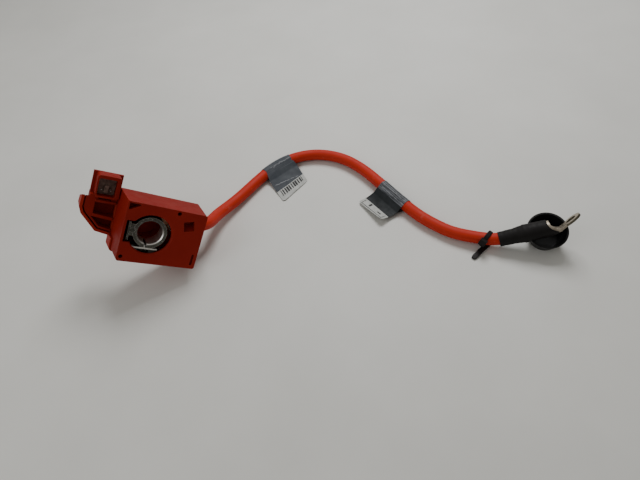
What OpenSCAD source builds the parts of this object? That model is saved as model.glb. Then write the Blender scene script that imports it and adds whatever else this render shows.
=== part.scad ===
// Fused battery cable: a moulded post-clamp housing with a side connector, a short
// thick cable with two label flags and a tie, and a bent ring lug in an open cap.
//
// The housing is drawn in its own frame: x to the right along the face, y up the face,
// z out of the face, with the origin on the battery post's axis in the face's plane.
// It is then leant as it rests, on its lowest rear corner and on the stiff cable.

/* [Housing] */
// Width of the face
housing_w = 63; // [61:0.5:70]
// Height of the face at its right side
housing_h = 48.5; // [47.5:0.5:54]
// How much higher the face is at its left side
face_rise = 2; // [0:0.25:2.5]
// Outward slope of the left side, in degrees
left_draft = 5; // [3:0.5:5.5]
// Depth from the face to the back of the rear cover
housing_d = 32; // [31.5:0.5:36]
// Thickness of the side walls
wall_t = 2; // [1.6:0.1:2.2]
// Thickness of the face
face_t = 2.4; // [1.8:0.1:3]
// Thickness of the rear cover
cover_t = 2.5; // [1.8:0.1:3]
// Distance from the left side to the post's axis
post_x = 21.5; // [21.3:0.1:22.5]
// Distance from the lower side to the post's axis
post_y = 26; // [25.6:0.1:27]
// How far the rear cover's upper edge lies below the front housing's
cover_step = 1.4; // [0.5:0.1:1.5]
// Thickness of the rear cover's rim round the lower left corner
rim_t = 1.5; // [1:0.1:2]
// Corner radius of the housing
corner_r = 2; // [1:0.25:2.5]
// Play between the two housing shells and between loose neighbours
fit_gap = 0.2; // [0.15:0.05:0.3]

/* [Mouth and pockets in the face] */
// Radius of the round mouth
mouth_r = 16.5; // [15.8:0.1:17]
// How far the mouth's centre lies below the post's axis
mouth_drop = 1; // [0.6:0.1:1.4]
// Chamfer round the mouth's rim
mouth_chamfer = 1; // [0.5:0.1:1.4]
// Height of the mouth's square extension beside the clamp's tail
tail_slot_h = 18.5; // [17.5:0.5:20]
// Diameter of the two core holes in the corner posts
core_hole_d = 3.3; // [2.5:0.1:4]
// Diameter of the two corner posts
corner_post_d = 6.6; // [6:0.1:7.5]
// Depth of the core holes
core_hole_depth = 12; // [6:1:20]
// Side of the square pocket
pocket_side = 8.5; // [7:0.5:8.5]
// Depth of the square pocket
pocket_depth = 7; // [5:0.5:7.5]
// Turn of the square pocket against the face, in degrees
pocket_turn = 14; // [0:1:16]
// Wall round the square pocket
pocket_wall = 1.4; // [1:0.1:1.6]
// Width of the narrow slot near the lower right corner
slot_w = 2; // [1.5:0.1:2.4]
// Length of the narrow slot
slot_len = 9.5; // [6:0.5:10]
// Diameter of the tool hole that reaches the clamp's nut
tool_hole_d = 11; // [9:0.5:12]

/* [Post clamp] */
// Bore radius of the clamp, the wide end of a standard positive post
post_bore_r = 9.75; // [9.6:0.05:9.85]
// Wall of the clamp ring
ring_t = 3.35; // [3:0.05:3.4]
// Height of the clamp ring
ring_h = 14; // [12:0.5:15]
// How far the ring lies behind the face
ring_setback = 2; // [1.5:0.25:3]
// Lead chamfer of the bore
bore_chamfer = 1; // [0.5:0.1:1.4]
// Width of the ring's split
split_w = 2; // [1.5:0.1:2.4]
// Thickness of each clamping ear
ear_t = 3.4; // [2.6:0.1:3.8]
// Diameter of the clamping bolt and of the fuse screw
bolt_d = 6; // [5:0.5:6]
// Thickness of the retaining strip under the ring
strip_t = 1.3; // [1:0.1:1.5]
// Length of the retaining strip
strip_len = 20; // [18:0.5:21]

/* [Fuse link] */
// Thickness of the fuse link
link_t = 2; // [1.5:0.1:2.4]
// Width of the fuse link
link_w = 12; // [10:0.5:13]
// Width of the fuse link's melting neck
neck_w = 3.5; // [2.5:0.5:6]
// Thickness of the inner lug's palm
palm_t = 2.5; // [2:0.1:3]

/* [Side connector] */
// Width of the socket's collar
collar_w = 17.8; // [17:0.2:18.4]
// Height of the socket's collar
collar_h = 18.3; // [18.3:0.1:18.6]
// Width of the socket
socket_w = 13.6; // [12.5:0.1:13.8]
// Height of the socket
socket_h = 14.4; // [13.5:0.1:14.6]
// Depth of the socket from its rim to its floor
socket_depth = 11; // [9:0.5:12]
// Thickness of the walls in the side tray
rib_t = 1.3; // [1:0.1:1.5]
// Thickness of the slanted rib across the side tray
cross_rib_t = 2.4; // [1.6:0.1:2.6]
// Thickness of the rear cover's skirt round the side tray
skirt_t = 2.2; // [1.6:0.1:2.3]
// Gap between the skirt and the side tray
skirt_gap = 1.2; // [0.9:0.1:1.4]
// Diameter of the contact pins
pin_d = 1; // [0.8:0.1:1.2]
// Distance between the contact pins
pin_pitch = 6.8; // [5:0.2:7.4]

/* [Cable] */
// Outer diameter of the cable
cable_d = 10.6; // [10:0.1:10.8]
// Number of sides of the cable's tube
cable_sides = 12; // [8:1:12]
// Distance along the cable to the label near the housing
near_label_at = 107; // [95:1:115]
// Distance along the cable to the label near the lug
far_label_at = 249; // [240:1:260]
// Distance along the cable to the cable tie
tie_at = 360; // [350:1:362]
// Length of the near label's film along the cable
near_film_len = 30; // [26:1:32]
// Length of the far label's film along the cable
far_film_len = 36; // [30:1:38]
// Thickness of the label film
film_t = 0.3; // [0.2:0.05:0.35]
// How far each label's flag stands off the cable
flag_reach = 31; // [24:1:33]
// Width of the cable tie's strap
tie_w = 2.8; // [2.4:0.2:4]
// Thickness of the cable tie's strap
tie_t = 1.2; // [1:0.1:1.4]

/* [Ring lug and cap] */
// Distance from the sleeve's start to the end of the lug's round barrel
barrel_end = 40; // [39:0.25:41]
// Wall of the heat-shrink sleeve at the cable
sleeve_t = 0.7; // [0.5:0.1:0.9]
// Radius of the lug's barrel
barrel_r = 6.2; // [5.8:0.1:6.6]
// Radius of the lug's stud hole
stud_hole_r = 4.2; // [4:0.1:4.4]
// Outer radius of the lug's eye
eye_r = 7.9; // [7.6:0.1:8.4]
// Thickness of the lug's palm
lug_t = 1.8; // [1.5:0.1:2.2]
// Bend of the palm against the barrel, in degrees
lug_bend = 28; // [24:1:32]
// Outer radius of the cap's rim
cap_rim_r = 16.5; // [16:0.25:17.5]
// Outer radius of the cap's base
cap_base_r = 12; // [11:0.25:13]
// Height of the cap
cap_h = 15; // [14:0.5:15.5]
// Wall of the cap
cap_wall = 1.6; // [1.2:0.1:2]

/* [Hidden] */
$fn = 48;
// Overlap of a cutting tool past the face that it cuts
over = 1;
// Reach of an outline that another one trims
beyond = 80;
// How far a slanted edge runs inside the corner circle that it meets
tuck = 0.02;

// Sides of the housing in its own frame
left = -post_x;
right = housing_w - post_x;
low = -post_y;
top = housing_h - post_y;
shell_back = cover_t - housing_d;
cover_back = -housing_d;

// Lean of the housing, and where the post's axis meets the face on the ground plan
lean = [66, 33.8, 14.3];
axis_x = 8.6;
axis_y = -14.24;
// Height that sets the rounded lowest rear corner on the ground
corner_dip = turned([right - corner_r, low + corner_r, cover_back], lean)[2]
    - corner_r * norm([turned([1, 0, 0], lean)[2], turned([0, 1, 0], lean)[2]]);
axis_z = -corner_dip;

// Core holes and pockets of the face
upper_post_at = [18.4, top - 2];
lower_post_at = [left + 3.2, low + 3.9];
pocket_at = [28.5, 11];
slot_at = [37.8, -17.9];
notch_depth = 6;

// Snap hooks of the rear cover, in windows of the lower wall
hook_places = [-4, 28];
hook_w = 6;
hook_h = 2.4;
hook_z = shell_back + 3;

// Front end of the cover's corner rim, and its upper end above the lower side
rim_front = -20;
rim_top = 9.7;

// Clamp
ring_r = post_bore_r + ring_t;
ring_front = -ring_setback;
ring_back = ring_front - ring_h;
split_x = -1.6;
ear_drop = 22.6;
ear_front = ring_front - 4.2;
ear_back = ear_front - 8.6;
nut_af = 10;
// Height and depth of the clamping bolt's axis: the nut passes just under the ring
bolt_at = [-ring_r - fit_gap - nut_af / 2, (ear_front + ear_back) / 2];
bolt_head_t = 4;
nut_t = 5;
tail_tip_x = left + wall_t + 2.5;
rivet_x = tail_tip_x + 3.2;
rivet_y = 0.6;
rivet_d = 2.6;
rivet_seat = ring_front - 0.9;
strip_top = -ring_r - fit_gap;

// Fuse link, inner lug and the cable's way out
cable_r = cable_d / 2;
film_gap = 0.1;
cable_y = 6;
link_back = ring_back - link_t;
cable_z = link_back - 2;
screw_x = 20.5;
link_end_x = 27;
inner_barrel_end_x = right - wall_t - 1;

// Side connector
tray_front = -29;
skirt_front = tray_front + 0.5;
collar_front = -24;
tray_floor = -38;
tray_back = tray_floor - 1.5;
pan_floor = tray_back - 0.3;
pan_back = pan_floor - 2;
pan_right = left_at(cover_back) - fit_gap;
flange_front = -34;
flange_back = collar_front - socket_depth - 1.5;
flange_right = -22.8;
collar_at = [-42.5, 14.8];
block_at = [-45, 9.2];
block_right = pan_right - fit_gap;
// The socket's walls are thin on the left and thick on the housing's side
socket_at = [collar_at[0] + 1.2, collar_at[1] + 1.4];
socket_floor = collar_front - socket_depth;
insert_front = socket_floor + 5;
pin_y = socket_at[1] + 4.2;
pin_mid_x = socket_at[0] + socket_w / 2;
tray_top = 13.8;
skirt_corner = [-36.5, -15.2];
skirt_slope = -0.19;
// Slope of the side pan's upper end toward its back, in degrees
pan_slope = 21;
// Middle of the tray's slanted rib at its left end, and the rib's slope
rib_left = [-42.5, -1.7];
rib_slope = -0.1;

// Route of the cable's middle from the housing to the lug, chosen by hand
route_middle = [[40.5, 17, 24], [43.3, 22.5, 20.3], [44.5, 29.5, 17], [46, 36.5, 13.8],
    [49.5, 44.5, 10.8], [56, 54, 8.3], [65.5, 67, 6.5], [80, 87, 5.8], [92, 101, 5.8],
    [100, 108, 5.8], [110, 114.5, 5.8], [121, 118.7, 5.8], [132, 120.5, 5.8], [143, 120, 5.8],
    [153, 117.3, 5.8], [163.5, 112.6, 5.8], [173, 105.7, 5.8], [187, 90.5, 5.8], [203, 67, 5.8],
    [212, 53, 5.8], [220, 41.5, 5.8], [228, 30.5, 5.8], [237, 21, 5.8], [254, 7, 5.8],
    [269, 0, 7], [286, -6.2, 8.1]];

// Lean and slant of the cable tie's strap, its head's side, and its tail on the ground
tie_lean = 37;
tie_skew = 30;
tie_head = 5;
tie_tail_len = 22;
tie_tail_yaw = 222;
tie_tail_z = 0.3;

// Where the heat-shrink starts, and how the cable's end lies there
far_at = [292, -7.2, 9.3];
far_turn = [0, -18.9, -2];
sleeve_start = -0.6;
cable_end_in_sleeve = 18;
// Roll of the lug about the cable, and the bend's place along it and below its axis
lug_roll = -43.5;
lug_bend_x = barrel_end + 6.5;
palm_drop = 3.3;
palm_w = 12.5;
// Distance from the bend to the eye's centre
eye_out = 11.5;
// Round cut that hollows the lug's neck, and the larger one that ends the sleeve over it
neck_cut_at = [lug_bend_x + 1, 5.95];
neck_cut_r = 7.7;
sleeve_cut_r = 10.5;

// Lean of the cap, which puts one edge of its base on the ground
cap_lean = [15, -6, 0];
cap_axis = turned([0, 0, 1], cap_lean);
cap_at = [329.6, -7.5, cap_h * cap_axis[2] + cap_base_r * norm([cap_axis[0], cap_axis[1]])];

function turned_x(v, a) = [v[0], v[1] * cos(a) - v[2] * sin(a), v[1] * sin(a) + v[2] * cos(a)];
function turned_y(v, a) = [v[0] * cos(a) + v[2] * sin(a), v[1], v[2] * cos(a) - v[0] * sin(a)];
function turned_z(v, a) = [v[0] * cos(a) - v[1] * sin(a), v[0] * sin(a) + v[1] * cos(a), v[2]];
function turned(v, a) = turned_z(turned_y(turned_x(v, a[0]), a[1]), a[2]);

function in_world(v) = turned(v, lean) + [axis_x, axis_y, axis_z];
function at_far_end(v) = turned(v, far_turn) + far_at;

cable_route = concat(
    [in_world([inner_barrel_end_x, cable_y, cable_z]), in_world([right + 0.5, cable_y, cable_z])],
    route_middle,
    [far_at, at_far_end([cable_end_in_sleeve, 0, 0])]);

function unit(v) = v / norm(v);
// Distance along a path to its point number i
function reach(path, i) = i == 0 ? 0 : reach(path, i - 1) + norm(path[i] - path[i - 1]);
// Point of a path at a distance from its start
function along(path, s, i = 0) =
    let (step = norm(path[i + 1] - path[i]))
    s <= step || i == len(path) - 2
        ? path[i] + (path[i + 1] - path[i]) * s / step
        : along(path, s - step, i + 1);
// Stretch of a path between two distances from its start
function stretch(path, a, b) = concat([along(path, a)],
    [for (i = [0 : len(path) - 1]) if (reach(path, i) > a + 1 && reach(path, i) < b - 1) path[i]],
    [along(path, b)]);
function tangent(path, i) =
    unit(path[min(i + 1, len(path) - 1)] - path[max(i - 1, 0)]);
// Inward offset of a counter-clockwise outline with straight sides
function side_normal(a, b) = let (d = unit(b - a)) [-d[1], d[0]];
function inset(p, t) = [for (i = [0 : len(p) - 1])
    let (before = p[(i + len(p) - 1) % len(p)], after = p[(i + 1) % len(p)],
        m = side_normal(before, p[i]), n = side_normal(p[i], after))
    p[i] + t * (m + n) / (1 + m * n)];

// Left side of the housing at a depth, and its upper side along x
function left_at(z) = left + z * tan(left_draft);
rise = face_rise / housing_w;
function top_at(x) = top + rise * (right - x);

// Outline of the side tray's outer skirt; extra moves its right and upper sides out
function skirt_outline(extra = 0) = [[pan_right + extra, tray_top + extra],
    [-50.5, tray_top + extra], [-51, 3], [-49, -2], skirt_corner,
    [pan_right + extra, skirt_low_at(pan_right + extra)]];
function skirt_low_at(x) = skirt_corner[1] + skirt_slope * (x - skirt_corner[0]);
tray_inset = skirt_t + skirt_gap;
tray_outline = inset(skirt_outline(tray_inset - fit_gap), tray_inset);

module leant() {
    translate([axis_x, axis_y, axis_z]) rotate(lean) children();
}

module at_lug_end() {
    translate(far_at) rotate(far_turn) children();
}

module rounded_rect(at, w, h, r) {
    translate(at) {
        translate([r, 0]) square([w - 2 * r, h]);
        translate([0, r]) square([w, h - 2 * r]);
        for (x = [r, w - r], y = [r, h - r]) translate([x, y]) circle(r = r);
    }
}

module slab(back, front) {
    translate([0, 0, back]) linear_extrude(front - back) children();
}

// Block with the housing's outline, all its sides moved inward
module housing_block(back, front, inward = 0) {
    r = max(corner_r - inward, 0.6);
    base = low + inward;
    // Middle of the upper right corner's circle, and where the slanted top leaves it
    middle = [right - inward - r, top_at(right - inward - r) - (inward + r) * norm([1, rise])];
    touch = middle + (r - tuck) * unit([rise, 1]);
    intersection() {
        slab(back, front) {
            polygon([[-beyond, base], [middle[0], base], [middle[0] + r, base + r],
                [middle[0] + r, middle[1]], touch, [-beyond, touch[1] + rise * (touch[0] + beyond)]]);
            translate([middle[0], base + r]) circle(r = r);
            translate(middle) circle(r = r);
        }
        translate([left, 0, 0]) rotate([0, left_draft, 0]) slab(-2 * housing_d, housing_d) {
            polygon([[inward + r, base], [beyond, base], [beyond, beyond], [inward, beyond],
                [inward, base + r]]);
            translate([inward + r, base + r]) circle(r = r);
        }
    }
}

module hexagon(across_flats) {
    circle(d = across_flats / cos(30), $fn = 6);
}

// Solid tube of a radius along a path, with flat ends
module swept(path, r, sides) {
    rings = len(path);
    points = [for (i = [0 : rings - 1])
        let (t = tangent(path, i), side = unit(cross(t, [0, 0, 1])), rise = cross(side, t))
        for (k = [0 : sides - 1])
            let (a = 360 * (k + 0.5) / sides) path[i] + r * (cos(a) * side + sin(a) * rise)];
    walls = [for (i = [0 : rings - 2], k = [0 : sides - 1])
        let (n = (k + 1) % sides)
        [i * sides + k, i * sides + n, (i + 1) * sides + n, (i + 1) * sides + k]];
    start = [for (k = [sides - 1 : -1 : 0]) k];
    end = [for (k = [0 : sides - 1]) (rings - 1) * sides + k];
    polyhedron(points, concat([start, end], walls), convexity = 6);
}

module front_housing() {
    color("orangered") leant() difference() {
        union() {
            difference() {
                housing_block(shell_back, 0);
                housing_block(shell_back - over, -face_t, wall_t);
            }
            // Corner posts for the core holes, trimmed to the housing's outline
            intersection() {
                housing_block(shell_back, 0);
                for (p = [upper_post_at, lower_post_at])
                    translate([p[0], p[1], shell_back]) cylinder(d = corner_post_d, h = -shell_back);
            }
            // Walls round the square pocket
            slab(-pocket_depth - pocket_wall, 0) translate(pocket_at) rotate(pocket_turn)
                square(pocket_side + 2 * pocket_wall, center = true);
            // Well round the slanted notch in the upper left corner
            slab(-notch_depth - pocket_wall, 0)
                translate([left + wall_t / 2, top - 6.5]) square([12, 8 - wall_t / 2]);
        }
        mouth();
        square_pocket();
        // Slanted notch, with a thin lip left under the top edge
        slab(-notch_depth, over) polygon([[left + 1.2, top - 5], [left + 3, top - 4.5],
            [left + 9.6, top - 0.6], [left + 9.6, top + 0.3], [left + 1.2, top + 0.8]]);
        for (p = [upper_post_at, lower_post_at])
            translate([p[0], p[1], -core_hole_depth]) cylinder(d = core_hole_d, h = core_hole_depth + over);
        slab(-face_t - over, over) translate(slot_at) square([slot_w, slot_len], center = true);
        // Tool hole to the clamp's nut, and the cable's way out, through the right wall
        translate([right - wall_t - over, bolt_at[0], bolt_at[1]]) rotate([0, 90, 0])
            cylinder(d = tool_hole_d, h = wall_t + 2 * over);
        translate([right - wall_t - over, cable_y, cable_z]) rotate([0, 90, 0])
            cylinder(r = cable_r + 2 * fit_gap, h = wall_t + 2 * over);
        // Windows in the lower wall for the cover's hooks
        for (x = hook_places) translate([x - hook_w / 2 - fit_gap, low - over, hook_z - fit_gap])
            cube([hook_w + 2 * fit_gap, wall_t + 2 * over, hook_h + 2 * fit_gap]);
    }
}

module mouth() {
    translate([0, -mouth_drop, -face_t - over]) cylinder(r = mouth_r, h = face_t + 2 * over);
    translate([0, -mouth_drop, -mouth_chamfer])
        cylinder(r1 = mouth_r, r2 = mouth_r + mouth_chamfer, h = mouth_chamfer);
    slab(-face_t - over, over) translate([left + wall_t, -tail_slot_h / 2 - 0.3])
        square([mouth_r - 6, tail_slot_h]);
}

// Pocket whose lower side is a ramp that leads in from the face
module square_pocket() {
    translate([pocket_at[0], pocket_at[1], 0]) rotate([0, 0, pocket_turn])
        translate([-pocket_side / 2, 0, 0]) rotate([90, 0, 90])
            linear_extrude(pocket_side) polygon([[-pocket_side / 2, over], [-pocket_side / 2, -0.8],
                [0, -pocket_depth], [pocket_side / 2, -pocket_depth], [pocket_side / 2, over]]);
}

module rear_cover() {
    color("red") leant() {
        difference() {
            housing_block(cover_back, shell_back);
            // Step along the upper edge
            slab(cover_back - over, shell_back + over) polygon([
                [-beyond, top_at(-beyond) - cover_step], [beyond, top_at(beyond) - cover_step],
                [beyond, beyond], [-beyond, beyond]]);
        }
        locating_lip();
        // Cup that closes the space behind the post
        slab(shell_back - cover_t / 2, link_back - 0.3) difference() {
            circle(r = post_bore_r + 2.4);
            circle(r = post_bore_r + 0.9);
        }
        side_pan();
        corner_rim();
        for (x = hook_places) snap_hook(x);
    }
}

// Rim on the cover's inside that centres it in the front housing
module locating_lip() {
    outer = wall_t + fit_gap;
    difference() {
        housing_block(shell_back - cover_t / 2, shell_back + 2.5, outer);
        housing_block(shell_back - cover_t, shell_back + 2.5 + over, outer + rib_t);
        for (p = [upper_post_at, lower_post_at])
            translate([p[0], p[1], shell_back]) cylinder(d = corner_post_d + 2 * fit_gap, h = 5);
    }
}

module snap_hook(x) {
    tongue = low + wall_t + fit_gap;
    translate([x - hook_w / 2, tongue, shell_back - cover_t / 2])
        cube([hook_w, rib_t, cover_t / 2 + 3 + hook_h]);
    translate([x - hook_w / 2, tongue - 1.2, hook_z]) cube([hook_w, 1.4, hook_h]);
}

// Rim that laps the housing's lower left corner from outside
module corner_rim() {
    intersection() {
        difference() {
            housing_block(cover_back, rim_front, -rim_t);
            housing_block(shell_back, rim_front + over, -fit_gap);
        }
        translate([left - 10, low - 10, cover_back]) cube([14, 10 + rim_top, -cover_back]);
    }
}

// Stepped tray behind the side connector, with its thin outer skirt
module side_pan() {
    difference() {
        union() {
            slab(pan_back, pan_floor) polygon(skirt_outline());
            slab(pan_back, skirt_front) difference() {
                polygon(skirt_outline());
                polygon(inset(skirt_outline(2 * skirt_t), skirt_t));
            }
        }
        slanted_top(-20);
    }
    // Web that joins the pan to the cover
    difference() {
        translate([pan_right, skirt_low_at(pan_right), pan_back])
            cube([wall_t, tray_top - skirt_low_at(pan_right), shell_back - cover_t / 2 - pan_back]);
        slanted_top(-20);
    }
}

// All that lies above the side pan's slanted upper end, from far left to x
module slanted_top(x) {
    translate([-60, tray_top, skirt_front]) rotate([-pan_slope, 0, 0]) translate([0, 0, -30])
        cube([60 + x, 30, 30 + over]);
}

module connector_body() {
    color("orangered") leant() difference() {
        union() {
            difference() {
                slab(tray_back, tray_front) polygon(tray_outline);
                slanted_top(block_at[0]);
            }
            slab(flange_back, flange_front) translate(block_at)
                square([block_right - block_at[0], collar_at[1] + collar_h - block_at[1]]);
            // Flange that laps the housing's upper left corner from behind
            slab(flange_back, flange_front) translate([collar_at[0], tray_top + 2])
                square([flange_right - collar_at[0], collar_at[1] + collar_h - tray_top - 2]);
            slab(tray_back, tray_front) translate(block_at)
                square([block_right - block_at[0], collar_at[1] - block_at[1] + 0.4]);
            slab(flange_back, collar_front) rounded_rect(collar_at, collar_w, collar_h, 2.5);
            // Ledge under the locking window
            slab(tray_front - over, tray_front + 1.5) translate([-40.4, 10.3]) square([15.4, 1.3]);
        }
        // Socket
        slab(socket_floor, collar_front + over) rounded_rect(socket_at, socket_w, socket_h, 1.5);
        // Locking window between the collar and the ledge
        slab(tray_front - 5, collar_front + over) translate([-38.8, 12]) square([9.8, 2.2]);
        tray_recesses();
    }
}

// The two hollows of the side tray, open toward the housing, with the slanted rib between them
module tray_recesses() {
    function rib_y(x) = rib_left[1] + rib_slope * (x - rib_left[0]);
    slab(tray_floor, tray_front + over) polygon([[0, block_at[1]], [-40.4, block_at[1]],
        [-40.4, rib_y(-40.4) + cross_rib_t / 2], [0, rib_y(0) + cross_rib_t / 2]]);
    slab(tray_floor, tray_front + over) intersection() {
        polygon(inset(skirt_outline(tray_inset + rib_t + over), tray_inset + rib_t));
        polygon([[-60, rib_y(-60) - cross_rib_t / 2], [-60, -40], [0, -40],
            [0, rib_y(0) - cross_rib_t / 2]]);
    }
}

module connector_insert() {
    color("dimgray") leant() difference() {
        union() {
            slab(socket_floor, insert_front) rounded_rect(socket_at + [fit_gap, fit_gap],
                socket_w - 2 * fit_gap, socket_h - 2 * fit_gap, 1.3);
            // Keying block between the pins
            slab(socket_floor, insert_front + 2)
                rounded_rect([pin_mid_x - 1.5, socket_at[1] + 2], 3, 6, 0.6);
        }
        for (side = [-1, 1]) translate([pin_mid_x + side * pin_pitch / 2, pin_y, socket_floor - over])
            cylinder(d = pin_d + 0.1, h = 10);
    }
}

module contact_pin(side) {
    color("gold") leant() translate([pin_mid_x + side * pin_pitch / 2, pin_y, socket_floor]) {
        cylinder(d = pin_d, h = 7);
        translate([0, 0, 7]) cylinder(d1 = pin_d, d2 = pin_d / 2, h = 0.8);
    }
}

module post_clamp() {
    color("darkgray") leant() difference() {
        union() {
            slab(ring_back, ring_front) circle(r = ring_r);
            for (x = [split_x - split_w / 2 - ear_t, split_x + split_w / 2])
                slab(ear_back, ear_front) translate([x, -ear_drop]) square([ear_t, ear_drop - post_bore_r - 1]);
            // Tail block and the plate across its tip
            slab(ring_front - 8, ring_front - 0.6) translate([tail_tip_x + 1.4, -4.3])
                square([-tail_tip_x - post_bore_r - 1.4, 9.8]);
            slab(ring_front - 12, ring_front - 0.8) translate([tail_tip_x, -8.5]) square([1.5, 15.5]);
        }
        slab(ring_back - over, ring_front + over) circle(r = post_bore_r);
        translate([0, 0, ring_front - bore_chamfer])
            cylinder(r1 = post_bore_r, r2 = post_bore_r + bore_chamfer, h = bore_chamfer);
        slab(ring_back - over, ring_front + over) translate([split_x - split_w / 2, -ear_drop - over])
            square([split_w, ear_drop]);
        translate([-20, bolt_at[0], bolt_at[1]]) rotate([0, 90, 0])
            cylinder(r = bolt_d / 2 + fit_gap, h = 40);
        translate([rivet_x, rivet_y, ring_front - 8 - over]) cylinder(d = rivet_d + 0.1, h = 10);
        // Seat for the rivet's head, cut into the ring's edge
        translate([rivet_x, rivet_y, rivet_seat]) cylinder(d = rivet_d + 2, h = 5);
    }
}

module tail_rivet() {
    color("silver") leant() translate([rivet_x, rivet_y, 0]) {
        slab(ring_front - 8.6, rivet_seat) circle(d = rivet_d);
        slab(rivet_seat, rivet_seat + 0.8) circle(d = rivet_d + 1.6);
    }
}

module retaining_strip() {
    strip_left = split_x - strip_len / 2 + 0.2;
    color("gainsboro") leant() slab(ear_front + fit_gap, ring_front - 0.8) {
        translate([strip_left, strip_top - strip_t]) square([strip_len, strip_t]);
        translate([strip_left, strip_top - strip_t / 2]) circle(r = strip_t * 0.85);
        translate([split_x - split_w / 4, strip_top - strip_t]) square([split_w / 2, strip_t + 2.2]);
    }
}

module along_x(at) {
    translate(at) rotate([0, 90, 0]) children();
}

module clamp_bolt() {
    head_x = split_x - split_w / 2 - ear_t - bolt_head_t;
    color("silver") leant() along_x([head_x, bolt_at[0], bolt_at[1]]) {
        linear_extrude(bolt_head_t) hexagon(nut_af);
        translate([0, 0, bolt_head_t - 0.1]) cylinder(d = bolt_d, h = split_w + 2 * ear_t + nut_t + 2.6);
    }
}

module clamp_nut() {
    nut_x = split_x + split_w / 2 + ear_t;
    color("silver") leant() along_x([nut_x, bolt_at[0], bolt_at[1]]) difference() {
        linear_extrude(nut_t) hexagon(nut_af);
        translate([0, 0, -over]) cylinder(d = bolt_d + 0.1, h = nut_t + 2 * over);
    }
}

module fuse_link() {
    color("peru") leant() slab(link_back, ring_back) difference() {
        union() {
            circle(r = ring_r - 0.4);
            translate([0, cable_y - link_w / 2]) square([link_end_x, link_w]);
        }
        circle(r = post_bore_r + 0.6);
        // Melting neck, cut in from both sides
        for (side = [-1, 1]) translate([ring_r + 0.7, cable_y + side * (neck_w + link_w) / 2])
            square([2.4, link_w], center = true);
        translate([screw_x, cable_y]) circle(d = bolt_d + 0.4);
    }
}

module inner_lug() {
    palm_left = screw_x - link_w / 2 + 0.5;
    color("silver") leant() difference() {
        union() {
            slab(link_back - palm_t, link_back) translate([palm_left, cable_y - link_w / 2 + 0.5])
                square([link_end_x + 2 - palm_left, link_w - 1]);
            along_x([link_end_x + 1, cable_y, cable_z])
                cylinder(r = cable_r, h = inner_barrel_end_x - link_end_x - 1);
        }
        translate([screw_x, cable_y, link_back - palm_t - over]) cylinder(d = bolt_d + 0.4, h = palm_t + 2 * over);
    }
}

module fuse_screw() {
    color("silver") leant() translate([screw_x, cable_y, 0]) {
        slab(link_back - palm_t - bolt_head_t, link_back - palm_t) hexagon(nut_af);
        slab(link_back - palm_t - 0.1, ring_back + nut_t + 0.8) circle(d = bolt_d);
    }
}

module fuse_nut() {
    color("silver") leant() translate([screw_x, cable_y, 0]) slab(ring_back, ring_back + nut_t)
        difference() {
            hexagon(nut_af);
            circle(d = bolt_d + 0.1);
        }
}

module cable() {
    color("tomato") swept(cable_route, cable_r, cable_sides);
}

// Film wrapped round the cable, with a flag that droops from it to the near side
module label(start, film_len, droop) {
    end = start + film_len;
    heading = unit(along(cable_route, end) - along(cable_route, start));
    yaw = atan2(heading[1], heading[0]);
    inner_r = cable_r + film_gap;
    difference() {
        union() {
            swept(stretch(cable_route, start, end), inner_r + film_t, cable_sides);
            translate(along(cable_route, (start + end) / 2)) rotate([180 + droop, 0, yaw])
                translate([-film_len / 2, 0, -film_t / 2])
                    cube([film_len, cable_r + flag_reach, film_t]);
        }
        swept(stretch(cable_route, start - 3, end + 3), inner_r, cable_sides);
    }
}

module near_label() {
    color("slategray") label(near_label_at, near_film_len, 7);
}

module far_label() {
    color("darkslategray") label(far_label_at, far_film_len, 4);
}

// Tie whose slanted strap closes in a head on the cable's upper near side
module cable_tie() {
    here = along(cable_route, tie_at);
    heading = unit(along(cable_route, tie_at + 3) - along(cable_route, tie_at - 3));
    yaw = atan2(heading[1], heading[0]);
    pitch = -asin(heading[2]);
    inner_r = cable_r + 3 * fit_gap;
    color("dimgray") {
        translate(here) rotate([0, pitch, yaw]) rotate([tie_lean, 0, 0]) rotate([0, 0, -tie_skew]) {
            // Strap, stretched to an oval by its slant across the cable
            rotate([90, 0, 90]) translate([0, 0, -tie_w / 2]) linear_extrude(tie_w) difference() {
                scale([1 / cos(tie_skew), 1]) circle(r = inner_r + tie_t);
                scale([1 / cos(tie_skew), 1]) circle(r = inner_r);
            }
            translate([-tie_head / 2, -tie_head / 2 - 2, inner_r + tie_t - 0.4])
                cube([tie_head, tie_head, 3.4]);
        }
        // Tail that runs out from under the cable onto the ground
        translate([here[0] + 1.5, here[1] + 1, tie_tail_z])
            rotate([0, 0, tie_tail_yaw]) translate([0, -tie_w / 2, 0]) cube([tie_tail_len, tie_w, tie_t]);
    }
}

// Sleeve over the cable's end and the lug's barrel, ended by a round slanting cut
module heat_shrink() {
    bore = barrel_r + fit_gap;
    color("darkslategray") at_lug_end() rotate([lug_roll, 0, 0]) difference() {
        union() {
            rotate([0, 90, 0]) rotate_extrude() polygon([
                [cable_r + fit_gap, sleeve_start], [cable_r + fit_gap + sleeve_t, sleeve_start],
                [bore + 2 * sleeve_t, cable_end_in_sleeve + 2], [bore + sleeve_t, barrel_end - 2],
                [bore + sleeve_t, barrel_end], [bore, barrel_end], [bore, cable_end_in_sleeve],
                [cable_r + fit_gap, cable_end_in_sleeve - 1]]);
            // Boot over the lug's neck
            difference() {
                lug_neck(fit_gap + sleeve_t);
                along_x([0, 0, 0]) cylinder(r = bore, h = barrel_end);
            }
        }
        lug_neck(fit_gap);
        neck_cut(sleeve_cut_r);
        translate([lug_bend_x - 2, -20, -20]) cube(40);
    }
}

// Round cut across the lug's neck
module neck_cut(r) {
    translate([neck_cut_at[0], 20, neck_cut_at[1]]) rotate([90, 0, 0]) cylinder(r = r, h = 40);
}

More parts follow.
